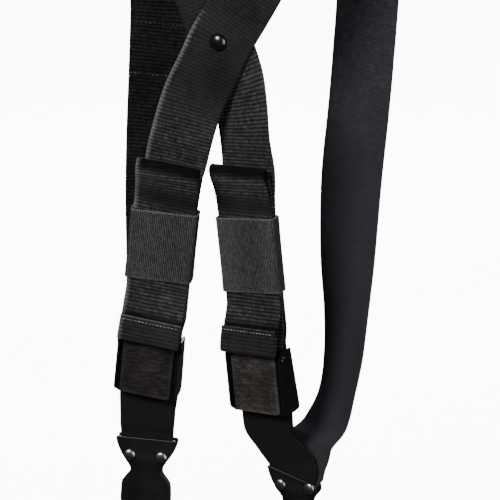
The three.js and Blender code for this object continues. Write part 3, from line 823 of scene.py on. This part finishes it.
def under_hem(route):
    """The distance along a back strap at which its front layer passes under the hem's cut edge."""
    before = route.length - route.along_mm > 30
    gap = np.linalg.norm(route.at - route.at[-1], axis=1)
    return route.along_mm[np.argmin(np.where(before, gap, np.inf))]


def back_strap(name, stations, side_name):
    """A back strap from its lap, over the shoulder and crossing, to its hem, with its stitching."""
    side = SIDES[side_name]
    route = Route(stations + tail_stations(side), STEP)
    height = route.at[:, 2] + CROSSING_DROP
    cloth = strap(
        name, "_cloth", route, WEBBING_THICK, ribbed, "back",
        press_and_painted_light=back_flattening_and_painted_light(route, name == "back_strap_outer"),
        skew=np.interp(height, (-100, -80, -10, 10), (0, SLANT, SLANT, 0)),
    )
    outward = -np.array(side["adjuster"].to_3x3().col[1])
    thread = hem_stitches(side_name + "_hem_stitching", route, outward)
    lap_rows = []
    for inset in LAP_INSETS:
        lap_rows += stitch_rows(route, RIBBED_THICK, round(inset / STEP), CHEST)
    lap = stitches(side_name + "_lap_stitching", lap_rows)


def front_fade(route):
    """The right front strap's weave is rubbed smooth towards its lower end."""
    height = (route.at[:, 2] + CROSSING_DROP)[:, None]
    return lambda u, v: np.interp(height, (-200, -90, 20), (1, 0.8, 0)) + 0 * u


def front_strap(side_name, side):
    """A front strap from its lap down to the coupler: the left one is ribbed, the right one finer."""
    route = Route(FRONT[side_name] + front_end(side), STEP)
    relief = ribbed if side_name == "left" else fine_ribbed
    name = side_name + "_front_strap"
    finish = "front_" + side_name
    faded = None if side_name == "left" else front_fade(route)
    cloth = strap(name, "_cloth", route, WEBBING_THICK, relief, finish, press_and_painted_light=faded)
    rows = []
    for height in FRONT_ROWS[side_name]:
        rows += stitch_rows(route, RIBBED_THICK, route.nearest(height), OUTWARD)
    sewn = []
    if rows:
        sewn = [stitches(side_name + "_front_stitching", rows, "dull_thread")]


def lower_strap(side_name, side):
    """A smooth, narrower strap, looped round the buckle's bar and running down to the coupler."""
    route = Route(bar_loop(side) + LOWER[side_name] + lower_end(side), LOWER_STEP)
    name = side_name + "_lower_strap"
    cloth = strap(name, "_cloth", route, LOWER_THICK, smooth_web, "lower", columns=31)


back_strap("back_strap_outer", OUTER, "left")
back_strap("back_strap_inner", INNER, "right")
for side_name, side in SIDES.items():
    front_strap(side_name, side)
    lower_strap(side_name, side)


# -------- elastic keepers
def rounded_loop(half_width, half_depth, corner, count):
    """Points, outward directions and distances round a rounded rectangle, evenly spaced."""
    straight_x, straight_y = 2 * (half_width - corner), 2 * (half_depth - corner)
    arc = math.pi / 2 * corner
    lengths = [straight_x, arc, straight_y, arc] * 2
    total = sum(lengths)
    made = []
    for i in range(count):
        at = total * i / count
        leg = 0
        while at > lengths[leg]:
            at -= lengths[leg]
            leg += 1
        quarter = leg // 2
        turn = math.radians(90 * quarter)
        flip = quarter % 2
        reach_x, reach_y = (half_depth, half_width) if flip else (half_width, half_depth)
        if leg % 2 == 0:
            x, y = at - (reach_x - corner), -reach_y
            dx, dy = 0, -1
        else:
            a = -math.pi / 2 + at / corner
            dx, dy = math.cos(a), math.sin(a)
            x, y = reach_x - corner + corner * dx, -reach_y + corner + corner * dy
        cos, sin = math.cos(turn), math.sin(turn)
        made.append((x * cos - y * sin, x * sin + y * cos, dx * cos - dy * sin, dx * sin + dy * cos,
                     total * i / count))
    return np.array(made), total


def keeper(side_name, side):
    """A closed band of corded elastic, waisted a little, its two hems rolled."""
    half_width = WEBBING / 2 + KEEPER_SIDE + KEEPER_WALL
    inner = WEBBING_THICK / 2 + KEEPER_SLACK
    half_depth = LAYER_PITCH + inner + KEEPER_WALL
    columns = KEEPER_CORDS * 4
    loop, around = rounded_loop(half_width, half_depth, KEEPER_CORNER, columns)
    half = KEEPER_HEIGHT / 2
    outer_rows = [(z, 0.0) for z in np.linspace(-half + 1.2, half - 1.2, 27)]
    top_roll = [
        (half - 0.45, 0.12), (half, -0.15), (half + 0.05, -0.5), (half, -0.85), (half - 0.4, -1.0),
    ]
    inner_rows = [(z, -1.0) for z in np.linspace(half - 1.2, -half + 1.2, 5)]
    bottom_roll = [(-z, depth) for z, depth in reversed(top_roll)]
    rows = outer_rows + top_roll + inner_rows + bottom_roll
    points, cloth = [], []
    for x, y, dx, dy, s in loop:
        cord = 0.16 * math.cos(2 * math.pi * s / (around / KEEPER_CORDS))
        for z, depth in rows:
            waist = -0.18 * math.cos(math.pi * z / KEEPER_HEIGHT) if depth >= 0 else 0
            proud = depth * KEEPER_WALL + (cord + waist if depth > -0.5 else 0)
            px, py = x + dx * proud, y + dy * proud
            points.append((px, py - LAYER_PITCH, side["keeper"] + z + side["skew"] * px))
            cloth.append((s, z, float(abs(z) > half - 1 and depth > -0.6)))
    size = len(rows)
    faces = []
    for i in range(columns):
        low, high = i * size, (i + 1) % columns * size
        for k in range(size):
            n = (k + 1) % size
            faces.append((low + k, high + k, high + n, low + n))
    name = side_name + "_keeper"
    piece = add_piece(
        name + "_elastic", move(points, side["adjuster"]), faces, "elastic",
        side_name + "_keeper_band", [name],
    )
    cloth_coordinates(piece, cloth)
    make_outward(piece)


# -------- buckles
CROWN = 0.25
PAD_EASE = 0.96  # of a quarter turn: crowds the pad's rows towards its edges


def eased(count):
    """Even steps from -1 to 1, drawn closer together towards both ends."""
    return np.sin(np.linspace(-1, 1, count) * math.pi / 2 * PAD_EASE) / math.sin(math.pi / 2 * PAD_EASE)


def suede_pad(side_name, side):
    """A soft pad with rounded edges and a low crown, napped all over."""
    half, middle = PAD_WIDTH / 2, (PAD_TOP + PAD_BOTTOM) / 2
    half_height = (PAD_TOP - PAD_BOTTOM) / 2
    across, up = 56, 66
    low, high = PIN_OUT + PAD_UNDER, PIN_OUT + PAD_OVER
    edge = 0.8

    def outline(u, v):
        """The pad's rounded-rectangle outline, from a square's u and v."""
        x, z = u * half, v * half_height
        over_x, over_z = abs(x) - (half - PAD_CORNER), abs(z) - (half_height - PAD_CORNER)
        if over_x > 0 and over_z > 0:
            reach = max(over_x, over_z)
            scale = reach / math.hypot(over_x, over_z)
            x = math.copysign(half - PAD_CORNER + over_x * scale, x)
            z = math.copysign(half_height - PAD_CORNER + over_z * scale, z)
        return x, z

    points, faces, tone_shift = [], [], []
    share_x, share_z = eased(across), eased(up)
    for v in share_z:
        for u in share_x:
            x, z = outline(u, v)
            near = min(1 - abs(u), (1 - abs(v)) * half_height / half) * half
            fall = max(0.0, 1 - near / edge)
            broad = noise.noise(Vector((x, z, 7)) * 0.55) * 0.1
            nap = broad + noise.noise(Vector((x, z, 3)) * 1.7) * 0.07
            crown = CROWN * (1 - u * u) * (1 - v * v)
            rounding = edge * (1 - math.sqrt(max(0, 1 - fall * fall)))
            height = high - CROWN + crown + nap * (1 - fall) - rounding
            points.append((x, -height, middle + z))
            # lighter towards the pad's right and bottom edges, half as much at its left, through the
            # third cloth value
            right_edge, left_edge = bump_at(x, half, 1.6), bump_at(x, -half, 1.2)
            bottom_edge = bump_at(z, -half_height, 2.0)
            tone_shift.append((x, z, max(right_edge, bottom_edge, 0.5 * left_edge)))
    front = len(points)
    for v in share_z:
        for u in share_x:
            x, z = outline(u, v)
            points.append((x, -low - 0.05, middle + z))
            tone_shift.append((x, z, 0))
    for i in range(up - 1):
        for k in range(across - 1):
            a = i * across + k
            b, c, d = a + 1, a + across + 1, a + across
            faces += [(a, b, c, d), (front + d, front + c, front + b, front + a)]
    rim = list(range(across))
    rim += [i * across + across - 1 for i in range(1, up)]
    rim += [(up - 1) * across + k for k in range(across - 2, -1, -1)]
    rim += [i * across for i in range(up - 2, 0, -1)]
    for i, here in enumerate(rim):
        there = rim[(i + 1) % len(rim)]
        faces.append((there, here, front + here, front + there))
    name = side_name + "_lever_pad"
    piece = add_piece(
        name + "_suede", move(points, side["adjuster"]), faces, side_name + "_suede",
        side_name + "_lever", [name],
    )
    cloth_coordinates(piece, tone_shift)
    make_outward(piece)


def lever_pin(side_name, side):
    """The lever's pin, with a low domed head at each end."""
    inside = FRAME_HALF + GAP
    end = inside + PIN_HEAD
    head = PIN_HEAD_RADIUS
    half = [(PIN_RADIUS, inside), (head, inside), (head, end - 0.45), (head * 0.8, end - 0.12),
            (head * 0.45, end + 0.1), (0, end + 0.15)]
    points, faces = spin([(radius, -x) for radius, x in reversed(half)] + half)
    turned = [(y, x - PIN_OUT, z) for x, y, z in points]
    name = side_name + "_lever_pin"
    piece = add_piece(
        name + "_turned", move(turned, side["adjuster"]), faces, "black_metal", "harness",
        [name],
    )
    make_outward(piece)
    soften(piece)


def soften(piece, angle=40):
    """Smooth shading that keeps edges sharper than the angle crisp."""
    piece.data.shade_smooth()
    mesh = bmesh.new()
    mesh.from_mesh(piece.data)
    for edge in mesh.edges:
        if len(edge.link_faces) == 2 and edge.calc_face_angle() > math.radians(angle):
            edge.smooth = False
    mesh.to_mesh(piece.data)
    mesh.free()


def stamped(node, material, width=0.35):
    """A CAD node of sheet steel, its edges rounded over and its finish put on."""
    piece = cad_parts[node]
    piece.data.materials.clear()
    piece.data.materials.append(MATERIALS[material])
    bevel = piece.modifiers.new("rounded_edges", "BEVEL")
    bevel.width = width * MM
    bevel.segments = 3
    bevel.limit_method = "ANGLE"
    bevel.angle_limit = math.radians(35)
    bevel.harden_normals = True


for side_name, side in SIDES.items():
    keeper(side_name, side)
    suede_pad(side_name, side)
    lever_pin(side_name, side)
    stamped(side_name + "_buckle_frame", "black_metal")
    stamped(side_name + "_buckle_lever", "black_metal", 0.6)


# -------- rivets
def rivet(name, place, x, z, size, faces_at, material):
    """A domed cap on a small flange, its post, and the peened end behind."""
    cap, rise, post, end, end_rise = size
    outer, inner = faces_at
    base = -(outer + GAP)
    back = -(inner - GAP)
    dome = [
        (cap * math.cos(math.radians(a)), base - 0.45 - (rise - 0.45) * math.sin(math.radians(a)))
        for a in (8, 20, 32, 44, 56, 67, 77, 84)
    ]
    profile = [(0, base - rise)] + dome[::-1]
    profile += [
        (cap, base - 0.5), (cap + 0.05, base - 0.3), (cap, base), (post, base), (post, back), (end, back),
        (end, back + end_rise * 0.5), (end * 0.8, back + end_rise * 0.9), (0, back + end_rise),
    ]
    points, faces = spin(profile)
    moved = move(np.array(points) + (x, 0, z), place)
    piece = add_piece(name + "_turned", moved, faces, material, "harness", [name])
    make_outward(piece)
    soften(piece)


crossing_outside = CROSSING_LAYERS + WEBBING_THICK / 2
crossing_inside = -WEBBING_THICK / 2 - GAP - WASHER_THICK
rivet("crossing_rivet", CROSSING, 0, 0, CROSSING_RIVET, (crossing_outside, crossing_inside),
      "black_metal")
stamped("crossing_washer", "black_metal", 0.2)
for side_name, side in SIDES.items():
    reach = LEAF_OUT + LEATHER_THICK / 2
    for end, x in (("left", -RIVET_SPREAD), ("right", RIVET_SPREAD)):
        rivet(f"{side_name}_rivet_{end}", side["coupler"], x, RIVET_DOWN, COUPLER_RIVET,
              (reach, -reach), "bright_metal")


# -------- leather couplers
def creased(u, v, edge):
    """A creased line along each edge, and a little fullness between."""
    crease = -0.3 * np.exp(-(((edge - 2.2) / 0.45) ** 2))
    return crease + 0.05 * np.sin(u * 0.9 + 0.7) * np.sin(v * 0.31)


def trim_leaf(piece, place, slope, narrow):
    """Slopes the leaf's top edge downhill towards +X and draws its +X side in, both easing out below."""
    to_place = place.inverted()
    for vertex in piece.data.vertices:
        point = to_place @ (vertex.co / MM)
        share = min(max(1 + point.z / LEAF_TRIMMED, 0), 1)
        if point.x > 0:
            point.x *= 1 - narrow * share
        point.z -= slope * share * (point.x + WEBBING / 2)
        vertex.co = (place @ point) * MM


def coupler(side_name, side):
    """One strip of leather: a six-sided leaf, a neck and a band, folded up round the eye's bar."""
    down = [
        (0, LEAF_OUT + 0.3, 38.6), (-1.2, LEAF_OUT + 0.2, 40), (-5, LEAF_OUT, 38.4),
        (-10, LEAF_OUT, 34.2), (-15, LEAF_OUT, 28), (-19, 2.6, 22.8), (-21.5, 2.1, 21), (-24, 1.7, 22.2),
        (-28, 1.4, 28.6), (-31, LEAF_BAND, 32), (-36, LEAF_BAND, 33), (-46, LEAF_BAND, 33),
        (-50, 1.45, 29.4), (-54, 1.9, 25.4), (-57, 2.7, 25), (FOLD, FOLD_RADIUS, 25),
        (FOLD - 2.35, 2.3, 25),
    ]
    up = [(z, -out, width) for z, out, width in reversed(down)]
    stations = stations_in(side["coupler"], down + [(FOLD - FOLD_RADIUS, 0, 25)] + up)
    route = Route(stations, LEATHER_STEP, smooth_width=True)
    name = side_name + "_coupler_leather"
    piece = strap(name, "_hide", route, LEATHER_THICK, creased, "leather", columns=41)
    slope, narrow = side["leaf_trim"]
    trim_leaf(piece, side["coupler"], slope, narrow)


for side_name, side in SIDES.items():
    coupler(side_name, side)


# -------- cast eyes, hooks and gates
def cast(node, body, voxel=0.4, rounds=5):
    """A cast copy of a CAD node: every edge softened, as a die casting's are."""
    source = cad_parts[node]
    mesh = source.data.copy()
    piece = new_object(node + "_casting", mesh)
    mesh.materials.clear()
    mesh.materials.append(MATERIALS["gunmetal"])
    remesh = piece.modifiers.new("cast", "REMESH")
    remesh.mode = "VOXEL"
    remesh.voxel_size = voxel * MM
    remesh.use_smooth_shade = True
    smooth = piece.modifiers.new("soften", "SMOOTH")
    smooth.iterations = rounds
    smooth.factor = 0.5
    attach(piece, body)
    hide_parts(node)
    return piece


for side_name in SIDES:
    cast(side_name + "_swivel_eye", side_name + "_eye")
    cast(side_name + "_snap_hook", side_name + "_hook")
    cast(side_name + "_snap_gate", side_name + "_gate", 0.3, 4)
    for small in ("_gate_pin", "_gate_spring"):
        stamped(side_name + small, "gunmetal", 0.12)


# -------- floor and light
FLOOR_DROP = 0.05  # metres under the lowest point of the harness
FLOOR_SUN = 30
WORLD_LIGHT, WORLD_SEEN = 0.035, 10  # how strongly the world lights things, and how bright it looks
LAMPS_AIM = (0, 0, -0.35)  # metres: the harness's lower half


def add_floor():
    """A wide pale floor just below the harness. It takes no part in what the harness reflects."""
    bpy.ops.mesh.primitive_plane_add(size=30, location=(0, 6, cad_box[0][2] - FLOOR_DROP))
    floor = bpy.context.object
    floor.name = "floor"
    floor.data.materials.append(floor_material())
    floor.visible_diffuse = False
    floor.visible_glossy = False


def add_light(name, place, size, energy, colour=(1, 1, 1)):
    """A round soft lamp. Metres and watts."""
    data = bpy.data.lights.new(name, "AREA")
    data.shape = "DISK"
    data.size = size
    data.energy = energy
    data.color = colour
    light = new_object(name, data)
    light.location = place
    towards = Vector(LAMPS_AIM) - Vector(place)
    light.rotation_euler = towards.to_track_quat("-Z", "Y").to_euler()
    light.visible_camera = False


def light_floor():
    """An even light on the floor alone, so that it stays pale behind a black object."""
    data = bpy.data.lights.new("floor_light", "SUN")
    data.energy = FLOOR_SUN
    data.angle = math.radians(40)
    light = new_object("floor_light", data)
    lit = bpy.data.collections.new("lit_floor")
    lit.objects.link(bpy.data.objects["floor"])
    light.light_linking.receiver_collection = lit


def add_world():
    """Nearly dark as a light, so that gloss black stays black, but pale where it shows itself."""
    world = bpy.data.worlds.new("studio")
    world.use_nodes = True
    nodes, links = world.node_tree.nodes, world.node_tree.links
    dim = nodes["Background"]
    set_inputs(dim, Color=(1, 1, 1, 1), Strength=WORLD_LIGHT)
    pale = nodes.new("ShaderNodeBackground")
    set_inputs(pale, Color=(1, 1, 1, 1), Strength=WORLD_SEEN)
    choose = nodes.new("ShaderNodeMixShader")
    links.new(nodes.new("ShaderNodeLightPath").outputs["Is Camera Ray"], choose.inputs[0])
    links.new(dim.outputs[0], choose.inputs[1])
    links.new(pale.outputs[0], choose.inputs[2])
    links.new(choose.outputs[0], nodes["World Output"].inputs["Surface"])
    bpy.context.scene.world = world


add_floor()
add_world()
add_light("key", (-0.7, -1.9, 0.95), 0.8, 90)
add_light("fill", (1.8, -1.4, -0.1), 1.8, 54, (0.95, 0.97, 1))
add_light("rim_left", (-1.2, 1.2, 0.4), 0.6, 26, (0.85, 0.88, 1))
add_light("rim_right", (1.7, 0.7, 0.9), 0.6, 20)
add_light("behind", (-0.5, 2.3, 0.9), 1.2, 90)
light_floor()
